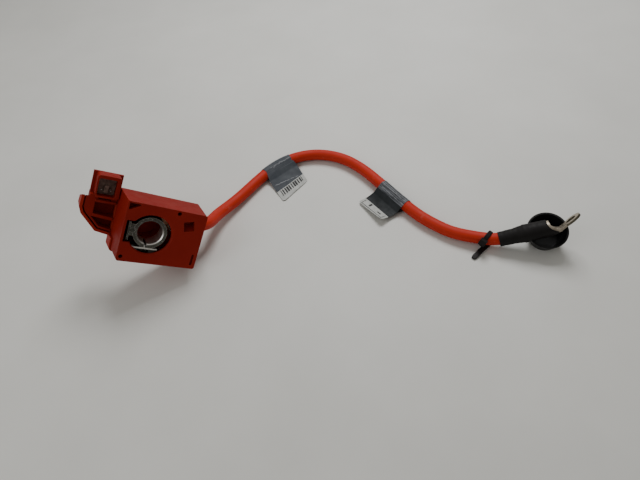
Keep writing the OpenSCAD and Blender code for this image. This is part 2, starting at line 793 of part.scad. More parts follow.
// Flattened stretch between the round barrel and the palm, grown all round
module lug_neck(grow = 0) {
    hull() {
        along_x([barrel_end - 3, 0, 0]) cylinder(r = barrel_r - 0.15 + grow, h = 2.5, $fn = 32);
        translate([lug_bend_x, -palm_w / 2 - grow, -palm_drop - lug_t / 2 - grow])
            cube([1.2, palm_w + 2 * grow, lug_t + 2 * grow]);
    }
}

// Barrel, a hollowed neck that flattens out of it, and the bent palm with its stud hole
module ring_lug() {
    color("tan") at_lug_end() rotate([lug_roll, 0, 0]) {
        difference() {
            union() {
                along_x([cable_end_in_sleeve + fit_gap, 0, 0])
                    cylinder(r = barrel_r, h = barrel_end - cable_end_in_sleeve - fit_gap);
                lug_neck();
            }
            neck_cut(neck_cut_r);
        }
        translate([lug_bend_x + 0.5, 0, 0.1 - palm_drop - lug_t / 2]) rotate([0, -lug_bend, 0]) difference() {
            union() {
                translate([0, -palm_w / 2 + 0.1, 0]) cube([eye_out, palm_w - 0.2, lug_t]);
                translate([eye_out, 0, 0]) cylinder(r = eye_r, h = lug_t);
            }
            translate([eye_out, 0, -over]) cylinder(r = stud_hole_r, h = lug_t + 2 * over);
        }
    }
}

// Open round cap; the sleeve lies in a notch of its rim
module terminal_cap() {
    color("darkslategray") difference() {
        translate(cap_at) rotate(cap_lean) rotate_extrude() polygon([
            [0, -cap_h], [cap_base_r, -cap_h], [cap_rim_r, 0], [cap_rim_r - cap_wall, 0],
            [cap_base_r - cap_wall, -cap_h + cap_wall], [0, -cap_h + cap_wall]]);
        at_lug_end() rotate([0, 90, 0]) cylinder(r = barrel_r + 2 * fit_gap + 2 * sleeve_t, h = barrel_end);
    }
}

front_housing();
rear_cover();
connector_body();
connector_insert();
contact_pin(-1);  // left_contact_pin
contact_pin(1);  // right_contact_pin
post_clamp();
tail_rivet();
retaining_strip();
clamp_bolt();
clamp_nut();
fuse_link();
inner_lug();
fuse_screw();
fuse_nut();
cable();
near_label();
far_label();
cable_tie();
heat_shrink();
ring_lug();
terminal_cap();
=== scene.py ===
"""Fused battery cable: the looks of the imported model, and the pieces that stand for its films."""

import math

import bpy
import numpy as np
from mathutils import Euler, Matrix, Vector


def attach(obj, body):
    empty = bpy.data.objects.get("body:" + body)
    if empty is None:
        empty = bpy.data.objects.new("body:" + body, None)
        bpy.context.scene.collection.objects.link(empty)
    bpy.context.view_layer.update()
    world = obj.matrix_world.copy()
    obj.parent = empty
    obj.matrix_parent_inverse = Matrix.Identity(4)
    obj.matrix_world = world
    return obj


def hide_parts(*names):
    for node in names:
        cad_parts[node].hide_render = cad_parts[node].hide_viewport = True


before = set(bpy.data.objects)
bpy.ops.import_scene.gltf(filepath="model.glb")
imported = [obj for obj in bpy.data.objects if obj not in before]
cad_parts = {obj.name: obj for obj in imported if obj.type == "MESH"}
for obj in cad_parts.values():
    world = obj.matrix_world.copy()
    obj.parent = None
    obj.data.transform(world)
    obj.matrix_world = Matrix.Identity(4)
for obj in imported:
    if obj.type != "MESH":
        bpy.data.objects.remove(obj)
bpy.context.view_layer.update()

# The scene is in metres, and the sizes and places below are in millimetres
MM = 0.001

# Camera of the photograph: its place, two of its directions and its lens
CAMERA_AT = Vector((157.1, -269.5, 345.1)) * MM
CAMERA_RIGHT = Vector((0.99723, -0.02453, -0.07022))
CAMERA_DOWN = Vector((-0.06334, -0.77489, -0.62892))
PHOTO_WIDTH = 640
FOCAL_PIXELS = 497.8

# The housing's own frame: x along the face, y up the face, z out of the face
LEAN = Euler([math.radians(a) for a in (66, 33.8, 14.3)]).to_matrix()
HOUSING_AT = Vector((8.6, -14.24, 52.891))
WALL_INSIDE = Vector((38.5, 6, -20))
WALL_OUTSIDE = Vector((42, 6, -20))

# The clamp's bore, and how far the chamfer before it reaches, which carries a painted highlight
POST_BORE_R = 9.75
CHAMFER_END_R = 10.5

# Moulded pocket behind the face's narrow slot, in the housing's frame
SLOT_AT = Vector((37.8, -17.9, 0))
POCKET_HALF_W = 1
POCKET_HALF_LEN = 4.75
POCKET_WALL = 0.8
POCKET_FRONT = -2.3
POCKET_BACK = -3.5

# Cable: its route after the housing's wall, and the straight stretch that ends in the sleeve
CABLE_D = 10.6
CABLE_SIDES = 40
ROUTE_SPACING = 1.5
ROUTE_MIDDLE = [
    (40.5, 17, 24), (43.3, 22.5, 20.3), (44.5, 29.5, 17), (46, 36.5, 13.8), (49.5, 44.5, 10.8),
    (56, 54, 8.3), (65.5, 67, 6.5), (80, 87, 5.8), (92, 101, 5.8), (100, 108, 5.8),
    (110, 114.5, 5.8), (121, 118.7, 5.8), (132, 120.5, 5.8), (143, 120, 5.8), (153, 117.3, 5.8),
    (163.5, 112.6, 5.8), (173, 105.7, 5.8), (187, 90.5, 5.8), (203, 67, 5.8), (212, 53, 5.8),
    (220, 41.5, 5.8), (228, 30.5, 5.8), (237, 21, 5.8), (254, 7, 5.8), (269, 0, 7),
    (286, -6.2, 8.1),
]
FAR_AT = Vector((292, -7.2, 9.3))
FAR_TURN = Euler([math.radians(a) for a in (0, -18.9, -2)]).to_matrix()
CABLE_END_IN_SLEEVE = 18

# Label films: wrapped round the cable, their plies meet in a flag whose end band is pale. The
# flag's sides lie FLAG_HALF_T from its middle, and its ripples grow over RIPPLE_GROWTH.
FILM_T = 0.3
FILM_GAP = 0.1
FILM_SPACING = 1.2
WRAP_START = math.radians(-62)
WRAP_TURN = math.radians(-236)
WRAP_ROWS = 25
WRAP_MAP = 0.3
PLIES_MEET = 5
FLAG_HALF_T = 0.4 * FILM_T
FLAG_ROWS = 25
FLAG_CORNER_R = 2.5
FLAG_REACH = 31
BAND_LEN = 12
RIPPLE = 0.22
RIPPLE_GROWTH = 8

# Each label's place and length along the cable, and its flag's (distance out, height) pairs
NEAR_LABEL_AT = 105.5
NEAR_FILM_LEN = 31.5
NEAR_FLAG_W = 34.5
NEAR_FLAG_HEIGHTS = [(5, -0.5), (12, -2.4), (20, -4), (28, -4.9), (36.7, -5.1)]
FAR_LABEL_AT = 248.5
FAR_FILM_LEN = 33.5
FAR_FLAG_HEIGHTS = [(5, -0.2), (11, -1.9), (18, -3.2), (23, -2.6), (28.5, -1.9)]

# Cable tie: its strap leans with the cable and is skewed on it, and its tail lies on the floor
TIE_AT = 360
TIE_W = 4
TIE_T = 1.2
TIE_GAP = 0.25
TIE_STEPS = 160
TIE_TOOTH = 0.12
TIE_TAPER = 0.8
TIE_LEAN = math.radians(37)
TIE_SKEW = math.radians(30)
TIE_HEAD = 6
TIE_HEAD_H = 3.4
TIE_HEAD_TAPER = (0.9, 0.85)
TIE_HEAD_RISE = 1.3
TIE_HEAD_TURN = math.radians(34)
TIE_TAIL_FROM = (3.5, -0.2)
TIE_TAIL_LOW = 0.4
TIE_TAIL_BOW = 0.5
TIE_TAIL_LEN = 22
TIE_TAIL_W = 4.4
TIE_TAIL_YAW = math.radians(222)
TIE_TAIL_STEPS = 24

# Heat-shrink over the lug: its outer radii on the way out, its neck that flattens toward the
# palm, and the round cut that ends it, seen along the lug's width
LUG_ROLL = math.radians(-43.5)
SLEEVE_START = -0.6
SLEEVE_T = 0.9
BARREL_END = 40
SLEEVE_PLACES = (SLEEVE_START, 13, 20, BARREL_END - 0.5)
SLEEVE_RADII = (CABLE_D / 2 + SLEEVE_T, 6.6, 7.7, 7.1)
SLEEVE_END = 45.2
SLEEVE_SIDES = 64
SLEEVE_ROWS = 90
SLEEVE_CUT_STEP = 0.05
SLEEVE_SINK = 0.05
SLEEVE_LIP = 0.65
SLEEVE_LIP_DEPTH = 3
NECK_END = 46.5
NECK_SQUARENESS = 5
PALM_DROP = 3.3
PALM_W = 12.5
LUG_T = 1.8
CUT_AT = (47.5, 5.95)
CUT_R = 9.6

# The lug's eye: its middle, its hole's axis, its two radii and how far its dark cut edges reach
EYE_AT = Vector((345.2, -7.616, 29.113))
EYE_AXIS = Vector((-0.63001, 0.630152, 0.453867))
EYE_HOLE_R = 4.2
EYE_R = 7.9
EYE_RIM = 0.25
EYE_HOLE_RIM = 0.15

# The floor, in metres
FLOOR_SIZE = 6
FLOOR_AT = (0.15, 0, 0)

# Corners of a square, anticlockwise
SQUARE = ((-1, -1), (1, -1), (1, 1), (-1, 1))


def in_world(local):
    """A point of the housing's own frame, in the part's frame."""
    return LEAN @ local + HOUSING_AT


def at_far_end(local):
    """A point of the sleeve's own frame, x along it, in the part's frame."""
    return FAR_TURN @ Vector(local) + FAR_AT


# Paths

def spline(points, spacing):
    """Evenly spaced points on a smooth curve through the route's points."""
    p = np.array([tuple(q) for q in points], float)
    p = np.vstack([2 * p[0] - p[1], p, 2 * p[-1] - p[-2]])
    fine = []
    for a, b, c, d in zip(p, p[1:], p[2:], p[3:]):
        for t in np.linspace(0, 1, 24, endpoint=False):
            fine.append(0.5 * (2 * b + (c - a) * t + (2 * a - 5 * b + 4 * c - d) * t ** 2
                               + (3 * b - a - 3 * c + d) * t ** 3))
    fine.append(p[-2])
    line = evenly(np.array(fine), spacing)
    for _ in range(40):
        line[2:-2] = 0.25 * line[1:-3] + 0.5 * line[2:-2] + 0.25 * line[3:-1]
    return evenly(line, spacing)


def distances(line):
    """How far along the path each of its points lies."""
    return np.concatenate([[0], np.cumsum(np.linalg.norm(np.diff(line, axis=0), axis=1))])


def evenly(line, spacing):
    """The same path with evenly spaced points."""
    s = distances(line)
    count = max(2, round(s[-1] / spacing) + 1)
    at = np.linspace(0, s[-1], count)
    return np.stack([np.interp(at, s, line[:, k]) for k in range(3)], axis=1)


def stretch(line, start, end, spacing):
    """The part of a path between two distances along it."""
    s = distances(line)
    at = np.linspace(start, end, max(2, round((end - start) / spacing) + 1))
    return np.stack([np.interp(at, s, line[:, k]) for k in range(3)], axis=1)


def frames(line):
    """For each point of a path: its direction, the side to the right of it, and up."""
    t = np.gradient(line, axis=0)
    t /= np.linalg.norm(t, axis=1)[:, None]
    side = np.cross(t, [0, 0, 1])
    side /= np.linalg.norm(side, axis=1)[:, None]
    return t, side, np.cross(side, t)


# Meshes

def mesh_object(name, points, faces, material, uvs=None, smooth=True):
    """A mesh piece from points in millimetres; uvs holds one pair for each point."""
    mesh = bpy.data.meshes.new(name)
    mesh.from_pydata([tuple(float(c) * MM for c in p) for p in points], [], faces)
    if uvs is not None:
        layer = mesh.uv_layers.new(name="UVMap")
        for loop in mesh.loops:
            layer.data[loop.index].uv = uvs[loop.vertex_index]
    for polygon in mesh.polygons:
        polygon.use_smooth = smooth
    mesh.materials.append(material)
    piece = bpy.data.objects.new(name, mesh)
    bpy.context.scene.collection.objects.link(piece)
    return piece


def ring_faces(rows, sides):
    """Faces between rows of points, each row a closed ring."""
    return [(i * sides + k, i * sides + (k + 1) % sides,
             (i + 1) * sides + (k + 1) % sides, (i + 1) * sides + k)
            for i in range(rows - 1) for k in range(sides)]


def four_sides(a, b):
    """Faces between two sections of four points each, from the numbers of their first points."""
    return [(a + m, b + m, b + (m + 1) % 4, a + (m + 1) % 4) for m in range(4)]


def tube(name, line, radius, sides, material):
    """A round tube along a path, closed at both ends; its map counts centimetres along it."""
    _, side, up = frames(line)
    s = distances(line)
    points, uvs = [], []
    for i, p in enumerate(line):
        for k in range(sides):
            a = 2 * math.pi * k / sides
            points.append(p + radius * (math.cos(a) * side[i] - math.sin(a) * up[i]))
            uvs.append((k / sides, s[i] / 10))
    faces = ring_faces(len(line), sides)
    faces.append(tuple(reversed(range(sides))))
    faces.append(tuple(range((len(line) - 1) * sides, len(line) * sides)))
    return mesh_object(name, points, faces, material, uvs)


# Materials

class Net:
    """A material's nodes, with short calls for the ones that are used here."""

    def __init__(self, name):
        self.material = bpy.data.materials.new(name)
        self.material.use_nodes = True
        self.nodes = self.material.node_tree.nodes
        self.links = self.material.node_tree.links
        self.shader = self.nodes["Principled BSDF"]

    def add(self, kind, **values):
        node = self.nodes.new(kind)
        for key, value in values.items():
            setattr(node, key, value)
        return node

    def link(self, source, target):
        self.links.new(source, target)

    def set(self, **values):
        for key, value in values.items():
            self.shader.inputs[key.replace("_", " ")].default_value = value

    def coords(self, scale=(1, 1, 1), uv=False):
        mapping = self.add("ShaderNodeMapping")
        mapping.inputs["Scale"].default_value = scale
        source = self.add("ShaderNodeTexCoord").outputs["UV" if uv else "Object"]
        self.link(source, mapping.inputs["Vector"])
        return mapping.outputs["Vector"]

    def along(self, origin, axis):
        """Distance in millimetres from a point along an axis."""
        at = self.add("ShaderNodeVectorMath", operation="SUBTRACT")
        self.link(self.add("ShaderNodeTexCoord").outputs["Object"], at.inputs[0])
        at.inputs[1].default_value = origin
        product = self.add("ShaderNodeVectorMath", operation="DOT_PRODUCT")
        self.link(at.outputs[0], product.inputs[0])
        product.inputs[1].default_value = Vector(axis) / MM
        return product.outputs["Value"]

    def noise(self, scale, detail=4, rough=0.55, vector=None):
        node = self.add("ShaderNodeTexNoise")
        node.inputs["Scale"].default_value = scale
        node.inputs["Detail"].default_value = detail
        node.inputs["Roughness"].default_value = rough
        self.link(vector or self.coords(), node.inputs["Vector"])
        return node.outputs["Fac"]

    def ramp(self, value, stops):
        node = self.add("ShaderNodeValToRGB")
        elements = node.color_ramp.elements
        while len(elements) < len(stops):
            elements.new(0.5)
        for element, (at, color) in zip(elements, stops):
            element.position = at
            element.color = (*color, 1) if hasattr(color, "__len__") else (color, color, color, 1)
        self.link(value, node.inputs["Fac"])
        return node.outputs["Color"]

    def math(self, operation, a, b=0.0, clamp=False):
        node = self.add("ShaderNodeMath", operation=operation, use_clamp=clamp)
        for socket, value in zip(node.inputs, (a, b)):
            if isinstance(value, (int, float)):
                socket.default_value = value
            else:
                self.link(value, socket)
        return node.outputs[0]

    def mix(self, factor, a, b):
        node = self.add("ShaderNodeMix", data_type="RGBA")
        for socket, value in ((node.inputs[0], factor), (node.inputs[6], a), (node.inputs[7], b)):
            if isinstance(value, (int, float)):
                socket.default_value = value
            elif hasattr(value, "__len__"):
                socket.default_value = (*value, 1)
            else:
                self.link(value, socket)
        return node.outputs[2]

    def bump(self, height, depth, normal=None):
        node = self.add("ShaderNodeBump")
        node.inputs["Strength"].default_value = 1
        node.inputs["Distance"].default_value = depth
        self.link(height, node.inputs["Height"])
        if normal is not None:
            self.link(normal, node.inputs["Normal"])
        return node.outputs["Normal"]

    def rounded(self, radius):
        node = self.add("ShaderNodeBevel", samples=6)
        node.inputs["Radius"].default_value = radius
        return node.outputs["Normal"]

    def edges(self, radius):
        """Near 1 along an edge and 0 on a flat, from how far the rounded normal turns."""
        product = self.add("ShaderNodeVectorMath", operation="DOT_PRODUCT")
        self.link(self.rounded(radius), product.inputs[0])
        self.link(self.add("ShaderNodeNewGeometry").outputs["Normal"], product.inputs[1])
        off = self.math("SUBTRACT", 1.0, product.outputs["Value"], clamp=True)
        return self.math("MULTIPLY", off, 6.0, clamp=True)

    def within(self, value, low, high):
        """1 between two limits, and 0 outside them."""
        above = self.math("GREATER_THAN", value, low)
        return self.math("MULTIPLY", above, self.math("LESS_THAN", value, high))

    def distance(self, x, y):
        squares = self.math("ADD", self.math("MULTIPLY", x, x), self.math("MULTIPLY", y, y))
        return self.math("SQRT", squares)

    def color(self, value):
        self.link(value, self.shader.inputs["Base Color"])

    def roughness(self, value):
        self.link(value, self.shader.inputs["Roughness"])

    def normal(self, value):
        self.link(value, self.shader.inputs["Normal"])


def moulded(name, dark, light, worn, rough, drift_scale=22, grain=0.00003, radius=0.0005):
    """Moulded plastic: slow colour drift, fine grain, scuffs, and paler worn edges."""
    net = Net(name)
    drift = net.ramp(net.noise(drift_scale, 3), [(0.3, dark), (0.7, light)])
    scuff = net.ramp(net.noise(260, 8, 0.75), [(0.6, 0.0), (0.72, 1.0)])
    patch = net.ramp(net.noise(60, 2), [(0.45, 0.0), (0.65, 1.0)])
    scuffed = net.math("MULTIPLY", net.math("MULTIPLY", scuff, patch), 0.35)
    wear_and_highlight_fade = net.ramp(net.noise(400, 4), [(0.35, 0.2), (0.6, 1.0)])
    edge = net.math("MULTIPLY", net.edges(radius * 1.4), wear_and_highlight_fade)
    wear = net.math("MAXIMUM", scuffed, net.math("MULTIPLY", edge, 0.6))
    net.color(net.mix(wear, drift, worn))
    net.roughness(net.ramp(net.noise(120, 5), [(0.3, rough - 0.06), (0.7, rough + 0.08)]))
    net.normal(net.bump(net.noise(3500, 3), grain, net.rounded(radius)))
    net.set(Specular_IOR_Level=0.11)
    return net.material


def metal(name, dark, light, rough, grain=0.00002, radius=0.0003):
    """Plated or cast metal with mottled tone, dull patches and bright edges."""
    net = Net(name)
    mottle = net.ramp(net.noise(180, 6, 0.65), [(0.3, dark), (0.7, light)])
    bright = tuple(min(1.0, 1.35 * c) for c in light)
    net.color(net.mix(net.math("MULTIPLY", net.edges(radius * 1.3), 0.7), mottle, bright))
    net.roughness(net.ramp(net.noise(320, 5, 0.6), [(0.3, rough - 0.08), (0.7, rough + 0.12)]))
    net.normal(net.bump(net.noise(1500, 5, 0.6), grain, net.rounded(radius)))
    net.set(Metallic=1.0)
    return net.material


def clamp_metal():
    """Cast clamp: speckled grey, a painted highlight on the lead chamfer, and a tarnished bore
    whose turned lines carry painted glints.
    """
    net = Net("zinc_clamp")
    origin = HOUSING_AT * MM
    x, y, z = (net.along(origin, LEAN.col[k]) for k in range(3))
    radius = net.distance(x, y)
    inside = net.math("LESS_THAN", radius, POST_BORE_R + 0.1)
    chamfer = net.within(radius, POST_BORE_R - 0.05, CHAMFER_END_R)
    # Painted highlight: the lead chamfer is painted near white, strongest toward the lower right
    # and fading elsewhere
    lower_right = net.math("SUBTRACT", net.math("MULTIPLY", x, 0.6), net.math("MULTIPLY", y, 0.8))
    wear_and_highlight_fade = net.ramp(net.math("DIVIDE", lower_right, 10.0), [(0.1, 0.12), (0.75, 1.0)])
    mottle = net.ramp(net.noise(170, 6, 0.65),
                      [(0.3, (0.045, 0.043, 0.037)), (0.7, (0.135, 0.13, 0.112))])
    fleck = net.ramp(net.noise(950, 3, 0.6), [(0.62, 0.0), (0.68, 0.55)])
    tarnish = net.ramp(net.noise(240, 5), [(0.35, (0.12, 0.05, 0.04)), (0.7, (0.3, 0.17, 0.14))])
    turned = net.math("SINE", net.math("MULTIPLY", z, 5.2))
    # Painted glints: pale lines in the bore's colour along the turned grooves
    line = net.math("MULTIPLY", net.math("GREATER_THAN", turned, 0.75),
                    net.ramp(net.noise(90, 3), [(0.45, 0.0), (0.6, 0.5)]))
    bore = net.mix(line, tarnish, (0.75, 0.62, 0.55))
    body = net.mix(fleck, mottle, (0.6, 0.6, 0.54))
    body = net.mix(inside, body, bore)
    body = net.mix(net.math("MULTIPLY", net.edges(0.0005), 0.7), body, (0.62, 0.6, 0.56))
    # Painted highlight: the chamfer's colour turns near white
    net.color(net.mix(net.math("MULTIPLY", chamfer, wear_and_highlight_fade), body, (0.95, 0.94, 0.9)))
    net.roughness(net.ramp(net.noise(320, 5), [(0.3, 0.34), (0.7, 0.52)]))
    cast = net.bump(net.noise(1300, 5), 0.00003, net.rounded(0.0003))
    net.normal(net.bump(net.math("MULTIPLY", turned, inside), 0.00006, cast))
    net.set(Metallic=1.0)
    return net.material


def lug_metal():
    """Tinned lug: mottled warm grey, with dark cut edges round the eye and in its hole."""
    net = Net("ring_lug")
    side = EYE_AXIS.orthogonal().normalized()
    other = EYE_AXIS.cross(side).normalized()
    radius = net.distance(net.along(EYE_AT * MM, side), net.along(EYE_AT * MM, other))
    rim = net.within(radius, EYE_R - EYE_RIM, EYE_R + EYE_RIM)
    cut = net.math("MAXIMUM", rim, net.math("LESS_THAN", radius, EYE_HOLE_R + EYE_HOLE_RIM))
    mottle = net.ramp(net.noise(260, 6, 0.7),
                      [(0.32, (0.3, 0.25, 0.19)), (0.68, (0.58, 0.52, 0.43))])
    stain = net.ramp(net.noise(420, 5), [(0.35, (0.07, 0.062, 0.04)), (0.7, (0.17, 0.155, 0.11))])
    net.color(net.mix(net.math("MULTIPLY", cut, 0.92), mottle, stain))
    net.roughness(net.ramp(net.noise(320, 5), [(0.3, 0.4), (0.7, 0.6)]))
    net.normal(net.bump(net.noise(1500, 5), 0.00002, net.rounded(0.0003)))
    net.set(Metallic=1.0)
    return net.material


def cable_insulation():
    """Extruded red insulation: streaks and fine ridges along the cable, and pale dust."""
    net = Net("red_insulation")
    along = net.coords((60, 0.5, 1), uv=True)
    streak = net.ramp(net.noise(1, 4, 0.6, along),
                      [(0.3, (0.44, 0.019, 0.008)), (0.7, (0.55, 0.029, 0.011))])
    dust = net.ramp(net.noise(140, 7, 0.7), [(0.58, 0.0), (0.75, 1.0)])
    net.color(net.mix(net.math("MULTIPLY", dust, 0.16), streak, (0.62, 0.3, 0.22)))
    net.roughness(net.ramp(net.noise(90, 5), [(0.3, 0.5), (0.7, 0.66)]))
    ridges = net.noise(1, 5, 0.6, net.coords((40, 0.35, 1), uv=True))
    net.normal(net.bump(net.noise(2600, 3), 0.000012, net.bump(ridges, 0.00006)))
    net.set(Specular_IOR_Level=0.2)
    return net.material


def film(name, dark, light, streaks, creases, marks, bars=0):
    """Label film: dark laminate with painted highlights along its creases and painted reflection
    streaks where it is wrapped round the cable, and a pale end band with plain marks.

    The first map coordinate runs across the film, the second one out from the cable's top:
    below WRAP_MAP the film is wrapped round the cable, and beyond 1 it is the pale band.
    A crease is (place, slope, half width, first, last), where first and last are across the
    film. A mark is (first, last, start, stop), its reach across the film and outward, and with
    bars the marks are broken up into stripes.
    """
    net = Net(name)
    parts = net.add("ShaderNodeSeparateXYZ")
    net.link(net.add("ShaderNodeTexCoord").outputs["UV"], parts.inputs[0])
    across, out = parts.outputs["X"], parts.outputs["Y"]

    def uv_noise(x_scale, y_scale, detail, rough):
        return net.noise(1, detail, rough, net.coords((x_scale, y_scale, 1), uv=True))

    shade = net.ramp(net.noise(130, 4), [(0.3, dark), (0.7, light)])
    # Painted reflection: pale streaks along the cable, only on the part wrapped round it
    streak = net.ramp(uv_noise(1.2, 40, 3, 0.6), [(0.42, 0.0), (0.6, streaks)])
    wrapped = net.math("LESS_THAN", out, WRAP_MAP + 0.01)
    shade = net.mix(net.math("MULTIPLY", streak, wrapped), shade, (0.26, 0.27, 0.3))
    # Painted highlights: pale broken lines along the creases and fold ridges
    broken = net.ramp(uv_noise(9, 16, 4, 0.7), [(0.4, 0.1), (0.52, 1.0)])
    sway = 0.09
    wobble = net.math("MULTIPLY", uv_noise(11, 2, 4, 0.6), sway)
    lines = 0.0
    for place, slope, half_width, first, last in creases:
        rise = net.math("MULTIPLY", across, slope)
        middle = net.math("ADD", net.math("ADD", rise, place - sway / 2), wobble)
        off = net.math("ABSOLUTE", net.math("SUBTRACT", out, middle))
        close = net.math("LESS_THAN", off, half_width)
        crease = net.math("MULTIPLY", close, net.within(across, first, last))
        lines = net.math("MAXIMUM", lines, crease)
    crease_highlights = net.math("MULTIPLY", net.math("MULTIPLY", lines, broken), 0.7)
    laminate = net.mix(crease_highlights, shade, (0.36, 0.37, 0.39))
    paper = net.ramp(net.noise(300, 5), [(0.3, (0.38, 0.39, 0.37)), (0.7, (0.52, 0.53, 0.51))])
    ink = 0.0
    for first, last, start, stop in marks:
        mark = net.math("MULTIPLY", net.within(across, first, last), net.within(out, start, stop))
        ink = net.math("MAXIMUM", ink, mark)
    if bars:
        wave = net.math("SINE", net.math("MULTIPLY", across, bars))
        beat = net.math("SINE", net.math("MULTIPLY", across, bars * 0.29))
        rhythm = net.math("ADD", wave, net.math("MULTIPLY", beat, 0.5))
        ink = net.math("MULTIPLY", ink, net.math("GREATER_THAN", rhythm, -0.4))
    printed = net.mix(net.math("MULTIPLY", ink, 0.95), paper, (0.012, 0.012, 0.014))
    net.color(net.mix(net.math("GREATER_THAN", out, 1.0), laminate, printed))
    net.roughness(net.ramp(net.noise(160, 4), [(0.3, 0.5), (0.7, 0.68)]))
    net.normal(net.bump(net.noise(240, 4), 0.0001))
    net.set(Specular_IOR_Level=0.18)
    return net.material


def rubber(name, shade, rough, lump, gloss):
    """Black rubber or nylon with low lumps and pale dust."""
    net = Net(name)
    pale = tuple(2.1 * c for c in shade)
    tone = net.ramp(net.noise(75, 5), [(0.35, shade), (0.7, tuple(1.5 * c for c in shade))])
    dust = net.ramp(net.noise(420, 7, 0.75), [(0.6, 0.0), (0.74, 1.0)])
    net.color(net.mix(net.math("MULTIPLY", dust, 0.5), tone, pale))
    net.roughness(net.ramp(net.noise(150, 5), [(0.3, rough - 0.08), (0.7, rough + 0.1)]))
    lumps = net.bump(net.noise(170, 3), lump, net.rounded(0.0005))
    net.normal(net.bump(net.noise(1800, 3), 0.00002, lumps))
    net.set(Specular_IOR_Level=gloss)
    return net.material


def dress(node, material):
    """Gives a CAD node its material, in every slot."""
    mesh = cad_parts[node].data
    mesh.materials.clear()
    mesh.materials.append(material)


# Pieces

def replace(piece, node):
    """Lets a piece of the scene stand for a CAD node."""
    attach(piece, "root")
    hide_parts(node)


def cable_line():
    """The cable's middle, from the housing's wall to inside the sleeve."""
    near_end = [in_world(WALL_INSIDE), in_world(WALL_OUTSIDE)]
    far_end = [FAR_AT, at_far_end((CABLE_END_IN_SLEEVE, 0, 0))]
    return spline(near_end + [Vector(p) for p in ROUTE_MIDDLE] + far_end, ROUTE_SPACING)


def curve(points, values):
    """Heights at the given places, on a smooth curve through a few (place, height) pairs."""
    fine = spline([(a, b, 0) for a, b in points], spacing=0.5)
    return np.interp(values, fine[:, 0], fine[:, 1])


def make_label(name, line, start, film_len, flag_w, heights, slide, skew, twist, material):
    """Film wrapped round the cable whose two plies meet in a flag on the near side.

    heights holds (distance out, height) pairs of the flag against the cable's middle.
    At its tip the flag lies slide further along the cable than at its root, and there its
    first corner is skew further out and twist higher than its last one.
    """
    r = CABLE_D / 2 + FILM_GAP + FILM_T
    rows = stretch(line, start, start + film_len, FILM_SPACING)
    t, side, up = frames(rows)
    middle = len(rows) // 2
    plan = np.array([side[middle][0], side[middle][1], 0])
    plan /= np.linalg.norm(plan)
    meet = r + PLIES_MEET
    tip = heights[-1][0]
    band_from = tip - BAND_LEN * (tip - meet) / (FLAG_REACH - PLIES_MEET)
    flag = np.linspace(meet, tip, FLAG_ROWS)
    height = curve(heights, flag)
    noise = np.random.default_rng(len(name))
    ripple = noise.uniform(-1, 1, 6)

    def along_film(out):
        return out / band_from if out < band_from else 1 + (out - band_from) / (tip - band_from)

    def crinkle(across, out):
        """Slight waves of the film, none where the plies start."""
        grow = min(1.0, (out - meet) / RIPPLE_GROWTH)
        return RIPPLE * grow * (ripple[0] * math.sin(5 * across + 0.31 * out)
                                + ripple[1] * math.sin(9 * across - 0.5 * out + 1)
                                + ripple[2] * math.sin(3 * across + 0.17 * out + ripple[3]))

    # Once round the film's section: in along the flag's lower side, round the cable, and out again
    profile = [(out, h - FLAG_HALF_T, along_film(out)) for out, h in zip(flag[::-1], height[::-1])]
    for k in range(WRAP_ROWS):
        a = WRAP_START + k / (WRAP_ROWS - 1) * WRAP_TURN
        profile.append((r * math.cos(a), r * math.sin(a), WRAP_MAP * abs(math.cos(a))))
    profile += [(out, h + FLAG_HALF_T, along_film(out)) for out, h in zip(flag, height)]
    points, uvs = [], []
    for i, p in enumerate(rows):
        across = i / (len(rows) - 1)
        for out, rise, v in profile:
            if out >= meet - 0.01:
                trim = corner_trim(across, tip - out, FLAG_CORNER_R)
                f = (out - meet) / (tip - meet)
                shift = flag_w * (across - 0.5) + trim + slide * f
                q = rows[middle] + t[middle] * shift + plan * (out + skew * f * (0.5 - across))
                lift = rise + crinkle(across, out) + twist * f * (0.5 - across)
                q = q + np.array([0, 0, max(lift, FILM_T - rows[middle][2])])
            else:
                q = p + side[i] * out + up[i] * rise
            points.append(q)
            uvs.append((across, v))
    faces = ring_faces(len(rows), len(profile))
    return mesh_object(name, points, faces, material, uvs)


def corner_trim(across, from_tip, radius):
    """How far a point near the flag's corners moves inward, for rounded corners."""
    if from_tip >= radius:
        return 0.0
    cut = radius - math.sqrt(max(0.0, radius ** 2 - (radius - from_tip) ** 2))
    return cut * (1 - 2 * across)


def tie_frame(line):
    """Place of the tie on the cable, with its slanted strap's x across, y and z round it."""
    s = distances(line)
    reach = 3
    here, before, after = (np.array([np.interp(TIE_AT + d, s, line[:, k]) for k in range(3)])
                           for d in (0, -reach, reach))
    heading = Vector(after - before).normalized()
    yaw = math.atan2(heading.y, heading.x)
    pitch = -math.asin(heading.z)
    turn = (Matrix.Rotation(yaw, 3, "Z") @ Matrix.Rotation(pitch, 3, "Y")
            @ Matrix.Rotation(TIE_LEAN, 3, "X") @ Matrix.Rotation(-TIE_SKEW, 3, "Z"))
    return Vector(here), turn


